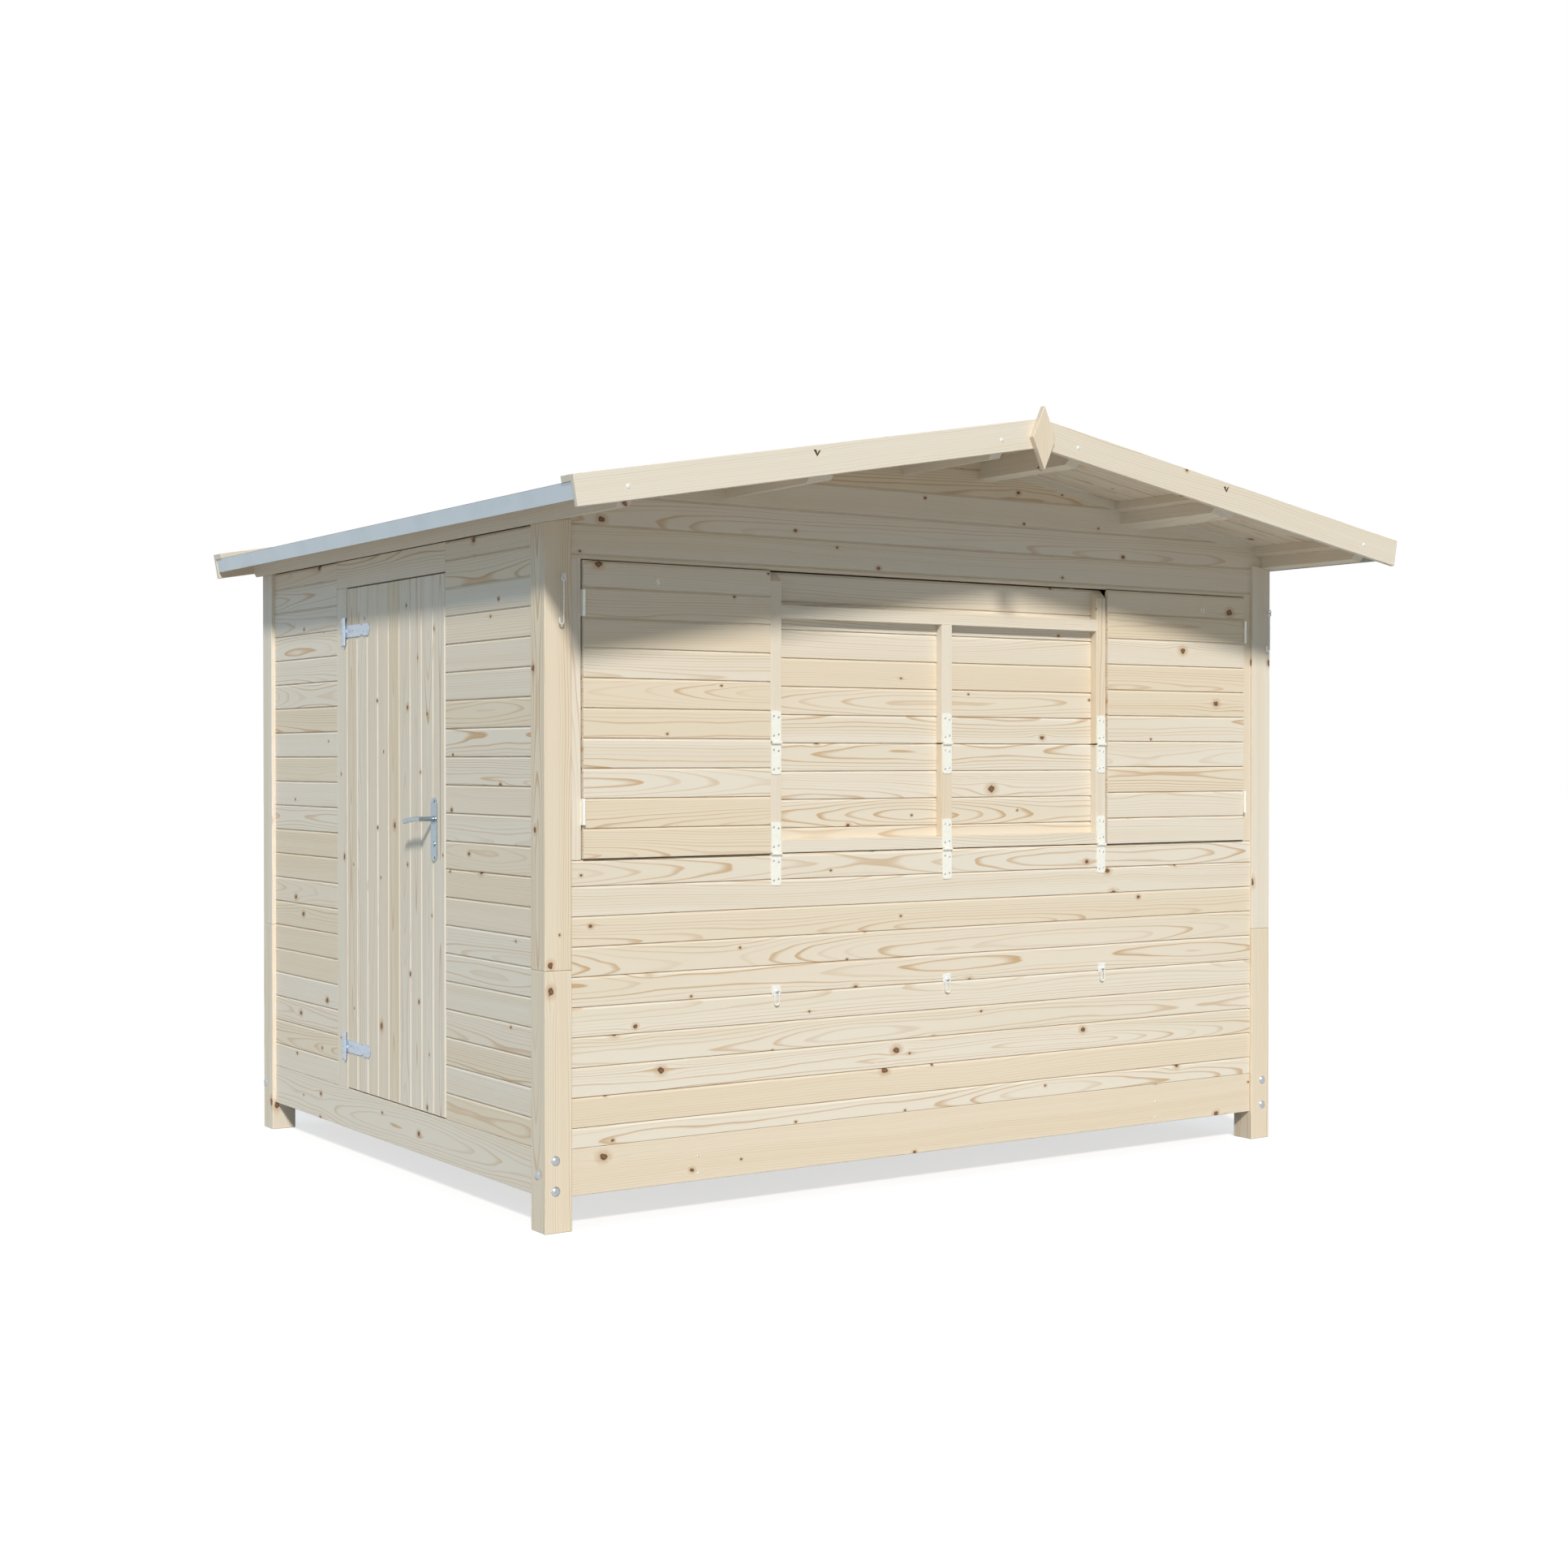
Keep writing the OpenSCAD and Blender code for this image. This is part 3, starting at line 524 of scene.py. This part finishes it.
front = Pile(3)
lo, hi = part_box("front_wall")
clad(front, "xzy", lo, hi, FRONT_GROOVE)
lo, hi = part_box("front_strips")
front.bar("zxy", lo, (lo.x + STRIP_W, hi.y, hi.z))
front.bar("zxy", (hi.x - STRIP_W, lo.y, lo.z), hi)
wall_lo, wall_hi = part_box("front_wall")
panel_lo, panel_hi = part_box("counter_boards")
front.bar("xzy", (panel_lo.x, wall_lo.y + BEVEL_DEEP, wall_hi.z - LIP_DOWN),
          (panel_hi.x, wall_hi.y, wall_hi.z + LIP_UP), LIP_EASE)
front.piece("front_boards", "hut", "front_wall", "front_strips")

RIDGE_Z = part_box("roof_felt")[1].z
UNDER_RAIL = 45 * MM / math.cos(SLOPE)
FRONT_HEAD_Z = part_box("front_gable")[0].z


def gable(pile, y0, y1, z0, wide):
    """Boards of a gable above z0, cut to the slope of the rails above them."""
    limit = RIDGE_Z - UNDER_RAIL
    slopes = [((0, 0, limit), (side * math.sin(SLOPE), 0, math.cos(SLOPE))) for side in (-1, 1)]
    for low, high in rows(z0, limit, FRONT_GROOVE):
        half = wide if low > FRONT_HEAD_Z - 3 * MM else inner_x
        pile.plank("xzy", (-half, y0, low), (half, y1, high), cuts=slopes)


lo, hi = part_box("front_gable")
gables = Pile(4)
gable(gables, lo.y, hi.y, lo.z - GABLE_DROP, hi.x - GABLE_TRIM)
gables.piece("gable_boards", "hut", "front_gable")
lo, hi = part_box("back_wall")
back = Pile(5)
gable(back, lo.y, hi.y, lo.z, hi.x - GABLE_TRIM)
back.piece("back_boards", "hut", "back_wall")

sides = Pile(6)
SIDES = ("right_wall", "left_wall_front", "left_wall_rear")
for name in SIDES:
    lo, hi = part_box(name)
    clad(sides, "yzx", lo, hi, SIDE_GROOVE)
sides.piece("side_boards", "hut", *SIDES)

# %% [markdown]
# The door is a row of upright boards on three cross ledges. Smooth boards frame it.

# %% Door
HEAD_H, HINGE_BOARD_W = 95 * MM, 88.5 * MM
DOOR_BOARDS = 9
LEDGE_T, LEDGE_HALF, LEDGE_INSET = 9 * MM, 60 * MM, 20 * MM
LEDGE_FROM_END = 150 * MM
lo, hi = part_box("door_trim")
head_z = hi.z - HEAD_H
trim = Pile(7, straight=True)
trim.bar("zyx", (lo.x, hi.y - HINGE_BOARD_W, lo.z), (hi.x, hi.y, head_z - SEAM), WIDE_EASE)
trim.bar("yzx", (lo.x, lo.y, head_z + SEAM), hi, WIDE_EASE)
trim.piece("door_trim_boards", "hut", "door_trim")

lo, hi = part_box("door")
board_w = (hi.y - lo.y) / DOOR_BOARDS
door = Pile(8)
for i in range(DOOR_BOARDS):
    door.plank("zyx", (lo.x, lo.y + i * board_w, lo.z),
               (hi.x - LEDGE_T, lo.y + (i + 1) * board_w, hi.z), flip=True)
for z in (lo.z + LEDGE_FROM_END, (lo.z + hi.z) / 2 + LEDGE_FROM_END, hi.z - LEDGE_FROM_END):
    door.bar("yzx", (hi.x - LEDGE_T, lo.y + LEDGE_INSET, z - LEDGE_HALF),
             (hi.x, hi.y - LEDGE_INSET, z + LEDGE_HALF))
door.piece("door_boards", "door", "door")

# %% [markdown]
# Shutters and the folding panel use thinner boards. The panel's battens stand in front of its
# boards, and the outer two end in a bevel that faces the wall when the panel is folded down. The
# leaves are drawn a little bigger than their plates, so that the seams between them look tight.

# %% Shutters and folding panel
EDGE = 2 * MM
MEET = 5 * MM
PANEL_DROP = 2.6 * MM
SHUTTER_GROOVE, PANEL_GROOVE = 1194.7 * MM, 1183.3 * MM
BATTEN_W, RAIL_W = 43 * MM, 41 * MM
ABOVE_CROSS = 103 * MM
for number, side in enumerate(("left_shutter", "right_shutter")):
    lo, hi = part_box(side)
    leaf = Pile(9 + number)
    left, right = (EDGE, MEET) if number == 0 else (MEET, EDGE)
    clad(leaf, "xzy", lo - Vector((left, 0, EDGE)), hi + Vector((right, 0, EDGE)),
         SHUTTER_GROOVE)
    leaf.piece(side + "_boards", side, side)

for number, leaf in enumerate(("counter", "brace")):
    lo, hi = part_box(leaf + "_boards")
    boards = Pile(11 + number)
    clad(boards, "xzy", lo - Vector((0, 0, PANEL_DROP)), hi + Vector((0, 0, EDGE)),
         PANEL_GROOVE)
    boards.piece(leaf + "_panel", leaf, leaf + "_boards")

lo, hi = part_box("counter_battens")
battens = Pile(13, straight=True)
for x in (lo.x, hi.x - BATTEN_W):
    battens.bar("zxy", (x, lo.y, lo.z), (x + BATTEN_W, hi.y, hi.z))
battens.bar("zxy", (-BATTEN_W / 2, lo.y, lo.z + RAIL_W), (BATTEN_W / 2, hi.y, hi.z))
battens.bar("xzy", (lo.x + BATTEN_W, lo.y, lo.z), (hi.x - BATTEN_W, hi.y, lo.z + RAIL_W))
battens.piece("counter_frame", "counter", "counter_battens")

lo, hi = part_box("brace_battens")
cross_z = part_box("brace_boards")[1].z - (ABOVE_CROSS + RAIL_W)
battens = Pile(14, straight=True)
depth = hi.y - lo.y
bevelled = [(lo.z, lo.y), (lo.z, hi.y), (hi.z + EDGE, hi.y), (hi.z + EDGE - depth, lo.y)]
for x in (lo.x, hi.x - BATTEN_W):
    battens.board("zyx", bevelled, x, x + BATTEN_W)
battens.bar("zxy", (-BATTEN_W / 2, lo.y, lo.z), (BATTEN_W / 2, hi.y, cross_z))
battens.bar("xzy", (lo.x + BATTEN_W, lo.y, cross_z), (hi.x - BATTEN_W, hi.y, cross_z + RAIL_W))
battens.piece("brace_frame", "brace", "brace_battens")

# %% [markdown]
# The roof boards run from the ridge to the eaves and show from below. They are laid out level and
# then tilted with the slope, once for each side.

# %% Roof
lo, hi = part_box("roof_deck")
DECK_U = hi.x / math.cos(SLOPE)
DECK_TOP, DECK_UNDER = -2 * MM, -17 * MM
DECK_GROOVE = -1240 * MM
DECK_RIDGE_GAP, DECK_EAVES_GAP = 3 * MM, 1 * MM


def tilted(side):
    """Turns a level board about the ridge, down to the left (-1) or to the right (1)."""
    return Matrix.Translation((0, 0, RIDGE_Z)) @ Matrix.Rotation(side * SLOPE, 4, "Y")


deck = Pile(15)
for side in (-1, 1):
    for y0, y1 in rows(lo.y, hi.y, DECK_GROOVE):
        near, far = sorted((side * DECK_RIDGE_GAP, side * (DECK_U - DECK_EAVES_GAP)))
        deck.plank("xyz", (near, y0, DECK_UNDER), (far, y1, DECK_TOP), turn=tilted(side))
deck.piece("roof_boards", "hut", "roof_deck")

lo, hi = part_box("barge_boards")
BARGE_H, BARGE_T, BARGE_UP = 91 * MM, 18 * MM, 18.5 * MM
barge_u = (hi.x - BARGE_UP * math.sin(SLOPE)) / math.cos(SLOPE)
cut = math.tan(SLOPE)
barges = Pile(16, straight=True)
for side in (-1, 1):
    top, foot = BARGE_UP, BARGE_UP - BARGE_H
    outline = [(side * (SEAM - top * cut), top), (side * barge_u, top), (side * barge_u, foot),
               (side * (SEAM - foot * cut), foot)]
    for y in (lo.y, hi.y - BARGE_T):
        barges.board("xzy", outline, y, y + BARGE_T, WIDE_EASE, tilted(side))
barges.piece("barge_timbers", "hut", "barge_boards")

lo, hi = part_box("finial")
middle = (lo + hi) / 2
diamond = Pile(17, straight=True)
diamond.board("zxy", [(lo.z, 0), (middle.z, hi.x), (hi.z, 0), (middle.z, lo.x)], lo.y, hi.y,
              WIDE_EASE)
diamond.piece("peak_diamond", "hut", "finial")

lo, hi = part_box("floor_deck")
FLOOR_BOARD_W, FLOOR_EASE = 95 * MM, 1 * MM
planks = Pile(18)
for y0, y1 in rows(lo.y, hi.y, lo.y, FLOOR_BOARD_W):
    narrow = y0 < post_hi.y or y1 > back_lo.y
    x = inner_x if narrow else hi.x
    planks.bar("xyz", (-x, y0, lo.z), (x, y1, hi.z), FLOOR_EASE)
planks.piece("floor_planks", "hut", "floor_deck")

# %% [markdown]
# Timbers whose shape is already right keep it and only take the wood, with the grain along their
# longest way.

# %% Beams
for axis, names in enumerate((("gable_rails", "barge_caps", "hatch_frame"),
                              ("ridge_purlins", "mid_purlins", "eave_purlins", "roof_battens",
                               "floor_joists"), ("door_frame",))):
    for name in names:
        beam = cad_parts[name]
        for slot in beam.material_slots:
            slot.material = beam_wood[axis]

# %% [markdown]
# Metal parts are zinc plated sheet and wire. A little unevenness in the roughness keeps them from
# looking like plastic.

# %% Metal and felt
def plated(name, tint, roughness, metallic, speckle=0.12, scale=90.0):
    material, tree, shader = new_material(name, roughness, metallic)
    place = object_metres(tree)
    cloud = place.node("ShaderNodeTexNoise", {}, {"Vector": place, "Scale": scale, "Detail": 3.0})
    dark = tuple(c * (1 - speckle) for c in tint[:3]) + (1.0,)
    tree.links.new(cloud.ramp(0.35, 0.7).blend(tint, dark).socket, shader.inputs["Base Color"])
    tree.links.new((cloud * 0.16 + (roughness - 0.08)).socket, shader.inputs["Roughness"])
    return material


cream_metal = plated("cream_hinge", colour(244, 243, 235), 0.42, 0.2, 0.04)
grey_metal = plated("zinc_sheet", colour(186, 198, 212), 0.34, 0.8, 0.06)
bright_metal = plated("bright_zinc", colour(184, 188, 192), 0.24, 0.9)
screw_metal = plated("screw_zinc", colour(168, 168, 164), 0.3, 0.8)
white_metal = plated("white_cap", colour(240, 240, 238), 0.45, 0.1)
satin_metal = plated("satin_steel", colour(160, 174, 184), 0.26, 0.9, 0.05)
drip_metal = plated("drip_sheet", colour(196, 206, 214), 0.45, 0.35, 0.05, 6.0)

finishes = {
    "door_hinge_leaves": (grey_metal, "hinge_metal"), "door_straps": (grey_metal, "hinge_metal"),
    "shutter_hinge_leaves": (cream_metal, "hinge_metal"),
    "left_shutter_fittings": (cream_metal, "hinge_metal"),
    "right_shutter_fittings": (cream_metal, "hinge_metal"),
    "sill_hinge_leaves": (cream_metal, "hinge_metal"),
    "counter_straps": (cream_metal, "hinge_metal"), "brace_straps": (cream_metal, "hinge_metal"),
    "handle_plates": (satin_metal, "handle_metal"),
    "door_lever": (satin_metal, "handle_metal"), "staples": (white_metal, "zinc"),
    "cabin_hooks": (white_metal, "zinc"), "coach_bolts": (bright_metal, "zinc"),
    "drip_edges": (drip_metal, "drip_metal"),
}
for name, (material, slot_name) in finishes.items():
    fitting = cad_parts[name]
    for slot in fitting.material_slots:
        slot.material = material

SHEET_W, LAP_W = 1.0, 0.008
felt_material, tree, shader = new_material("mineral_felt", 0.95)
place = object_metres(tree)
grit = place.node("ShaderNodeTexNoise", {}, {"Vector": place, "Scale": 420.0, "Detail": 2.0})
speck = grit.ramp(0.42, 0.6).blend(colour(58, 60, 62), colour(116, 118, 118))
lap = (place.part(1) * SHEET_W + 0.05).math("FRACT").math("LESS_THAN", LAP_W)
tree.links.new((lap * 0.7).blend(speck, colour(30, 31, 32)).socket, shader.inputs["Base Color"])
bump = grit.node("ShaderNodeBump", {}, {"Height": grit, "Strength": 0.5, "Distance": 0.001})
tree.links.new(bump.socket, shader.inputs["Normal"])
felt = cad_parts["roof_felt"]
for slot in felt.material_slots:
    slot.material = felt_material

# %% [markdown]
# Screws repeat all over the hut. A Geometry Nodes tree puts a low conical head with a raised cross
# on every point of a loose mesh and turns it to face the way that the point says.

# %% Screw tree
def screw_tree():
    tree = bpy.data.node_groups.new("screw_heads", "GeometryNodeTree")
    face = tree.interface
    face.new_socket("Geometry", in_out="INPUT", socket_type="NodeSocketGeometry")
    face.new_socket("Radius", in_out="INPUT", socket_type="NodeSocketFloat")
    face.new_socket("Height", in_out="INPUT", socket_type="NodeSocketFloat")
    face.new_socket("Material", in_out="INPUT", socket_type="NodeSocketMaterial")
    face.new_socket("Geometry", in_out="OUTPUT", socket_type="NodeSocketGeometry")
    made = tree.nodes.new
    start, end = made("NodeGroupInput"), made("NodeGroupOutput")
    link = tree.links.new
    radius, height = start.outputs["Radius"], start.outputs["Height"]

    def times(socket, factor):
        node = made("ShaderNodeMath")
        node.operation = "MULTIPLY"
        link(socket, node.inputs[0])
        node.inputs[1].default_value = factor
        return node.outputs[0]

    head = made("GeometryNodeMeshCone")
    head.inputs["Vertices"].default_value = 20
    link(times(radius, 0.62), head.inputs["Radius Top"])
    link(radius, head.inputs["Radius Bottom"])
    link(height, head.inputs["Depth"])
    join = made("GeometryNodeJoinGeometry")
    link(head.outputs["Mesh"], join.inputs[0])
    for wide, thin in ((0, 1), (1, 0)):
        size = made("ShaderNodeCombineXYZ")
        link(times(radius, 0.95), size.inputs[wide])
        link(times(radius, 0.2), size.inputs[thin])
        link(times(height, 0.2), size.inputs[2])
        bar = made("GeometryNodeMeshCube")
        link(size.outputs[0], bar.inputs["Size"])
        up = made("ShaderNodeCombineXYZ")
        link(times(height, 0.98), up.inputs[2])
        move = made("GeometryNodeTransform")
        link(bar.outputs["Mesh"], move.inputs["Geometry"])
        link(up.outputs[0], move.inputs["Translation"])
        link(move.outputs[0], join.inputs[0])
    way = made("GeometryNodeInputNamedAttribute")
    way.data_type = "FLOAT_VECTOR"
    way.inputs["Name"].default_value = "facing"
    align = made("FunctionNodeAlignRotationToVector")
    align.axis = "Z"
    link(way.outputs["Attribute"], align.inputs["Vector"])
    place = made("GeometryNodeInstanceOnPoints")
    link(start.outputs["Geometry"], place.inputs["Points"])
    link(join.outputs[0], place.inputs["Instance"])
    link(align.outputs[0], place.inputs["Rotation"])
    real = made("GeometryNodeRealizeInstances")
    link(place.outputs[0], real.inputs[0])
    paint = made("GeometryNodeSetMaterial")
    link(real.outputs[0], paint.inputs["Geometry"])
    link(start.outputs["Material"], paint.inputs["Material"])
    link(paint.outputs[0], end.inputs[0])
    return tree


heads = screw_tree()


def screws(name, body, spots, radius, material, height=1.2 * MM):
    """spots holds (point, facing) pairs."""
    mesh = bpy.data.meshes.new(name + "_points")
    mesh.from_pydata([p for p, _ in spots], [], [])
    facing = [c for _, way in spots for c in way]
    mesh.attributes.new("facing", "FLOAT_VECTOR", "POINT").data.foreach_set("vector", facing)
    seed = bpy.data.objects.new(name + "_seed", mesh)
    bpy.context.collection.objects.link(seed)
    modifier = seed.modifiers.new("heads", "NODES")
    modifier.node_group = heads
    settings = {"Radius": radius, "Height": height, "Material": material}
    for item in heads.interface.items_tree:
        if item.in_out == "INPUT" and item.name in settings:
            modifier[item.identifier] = settings[item.name]
    depsgraph = bpy.context.evaluated_depsgraph_get()
    solid = bpy.data.meshes.new_from_object(seed.evaluated_get(depsgraph))
    bpy.data.objects.remove(seed)
    made = bpy.data.objects.new(name, solid)
    bpy.context.collection.objects.link(made)
    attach(made, body)
    print(name, len(spots), "screws")


# %% [markdown]
# Each strap leaf has two pairs of screws, the barge boards are fixed near the peak and near the
# eaves, and the base board shows the screws into the outer joists.

# %% Screws
FRONT, LEFT = (0, -1, 0), (-1, 0, 0)
SCREW_R, SMALL_SCREW_R = 3.6 * MM, 3.4 * MM
HALF_LEAF_W = 18.5 * MM
LEAF_T = 2.5 * MM
HALF_SEAM = 2.5 * MM
LEAF_SCREWS = ((-9, 22), (9, 26), (9, 80), (-9, 84))
lo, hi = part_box("sill_hinge_leaves")
stiles = (lo.x + HALF_LEAF_W, 0.0, hi.x - HALF_LEAF_W)
leaf_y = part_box("front_wall")[0].y - LEAF_T
sill_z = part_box("front_wall")[1].z + HALF_SEAM
fold_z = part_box("brace_boards")[0].z - HALF_SEAM


def strap_spots(z, way):
    """Screws of one leaf on each stile, above (1) or below (-1) the pin at height z."""
    return [((x + dx * MM, leaf_y, z + way * (dz * MM)), FRONT)
            for x in stiles for dx, dz in LEAF_SCREWS]


screws("sill_screws", "hut", strap_spots(sill_z, -1), SCREW_R, screw_metal)
screws("counter_screws", "counter", strap_spots(sill_z, 1) + strap_spots(fold_z, -1),
       SCREW_R, screw_metal)
screws("brace_screws", "brace", strap_spots(fold_z, 1), SCREW_R, screw_metal)

STRAP_SCREWS = ((90, 0), (184, -8))
LEAF_SCREW_ZS = (-36, -12, 12, 36)
strap_lo, strap_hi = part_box("door_straps")
strap_zs = (strap_lo.z + 21 * MM, strap_hi.z - 21 * MM)
screws("door_strap_rivets", "door",
       [((strap_lo.x, strap_hi.y - 32 * MM, z), LEFT) for z in strap_zs],
       5.5 * MM, white_metal, 2 * MM)
screws("door_strap_screws", "door",
       [((strap_lo.x, strap_hi.y - y * MM, z + dz * MM), LEFT)
        for z in strap_zs for y, dz in STRAP_SCREWS], SMALL_SCREW_R, screw_metal)
leaf_lo, leaf_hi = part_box("door_hinge_leaves")
screws("door_leaf_screws", "hut",
       [((leaf_lo.x + 0.2 * MM, leaf_hi.y - 12 * MM, z + dz * MM), LEFT)
        for z in strap_zs for dz in LEAF_SCREW_ZS], SCREW_R, bright_metal)

plate_lo, plate_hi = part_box("handle_plates")
plate_y = plate_hi.y - 23 * MM
screws("plate_screws", "door",
       [((plate_lo.x, plate_y, z), LEFT) for z in (plate_lo.z + 12 * MM, plate_hi.z - 12 * MM)],
       4.5 * MM, bright_metal)

barge_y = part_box("barge_boards")[0].y
BARGE_PEAK = RIDGE_Z + 18.8 * MM
BARGE_SCREW_DROP = 53 * MM
BARGE_SCREW_XS = (157 * MM, 1487 * MM)
spots = [((side * x, barge_y, BARGE_PEAK - x * cut - BARGE_SCREW_DROP), FRONT)
         for x in BARGE_SCREW_XS for side in (-1, 1)]
screws("barge_screws", "hut", spots, 7 * MM, white_metal, 2.5 * MM)
screws("base_screws", "hut",
       [((x, base_lo.y, z), FRONT) for x in (-969.6 * MM, 946.4 * MM)
        for z in (124 * MM, 179 * MM)], SCREW_R, grey_metal)

# %% [markdown]
# Two knots on the front barge boards were cut along their length, so they show as a dark V. Each
# is two thin inlays, drawn here in millimetres round the foot of the V.

# %% Barge knots
KNOT_PLACES = ((-852.6 * MM, 2297 * MM), (811.4 * MM, 2304 * MM))
KNOT_STROKES = (((-13, 8), (-4, 10), (1, -2), (0, -11)),
                ((13, 9), (5, 7), (1.2, -2), (0.2, -11)))
KNOT_OUT, KNOT_IN = 0.15 * MM, 1 * MM
bark, tree, shader = new_material("knot_bark", 0.8)
place = object_metres(tree)
fleck = place.node("ShaderNodeTexNoise", {}, {"Vector": place, "Scale": 260.0, "Detail": 2.0})
tree.links.new(fleck.ramp(0.35, 0.65).blend(colour(40, 26, 18), colour(104, 62, 34)).socket,
               shader.inputs["Base Color"])
points, faces = [], []
for x, z in KNOT_PLACES:
    for stroke in KNOT_STROKES:
        for y in (barge_y - KNOT_OUT, barge_y + KNOT_IN):
            points += [(x + a * MM, y, z + b * MM) for a, b in stroke]
        n = len(points) - 8
        faces += [(n, n + 1, n + 2, n + 3), (n + 7, n + 6, n + 5, n + 4)]
        faces += [(n + k, n + 4 + k, n + 4 + (k + 1) % 4, n + (k + 1) % 4) for k in range(4)]
knot_mesh = bpy.data.meshes.new("barge_knots")
knot_mesh.from_pydata(points, [], faces)
knot_mesh.materials.append(bark)
knots = bpy.data.objects.new("barge_knots", knot_mesh)
bpy.context.collection.objects.link(knots)
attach(knots, "hut")
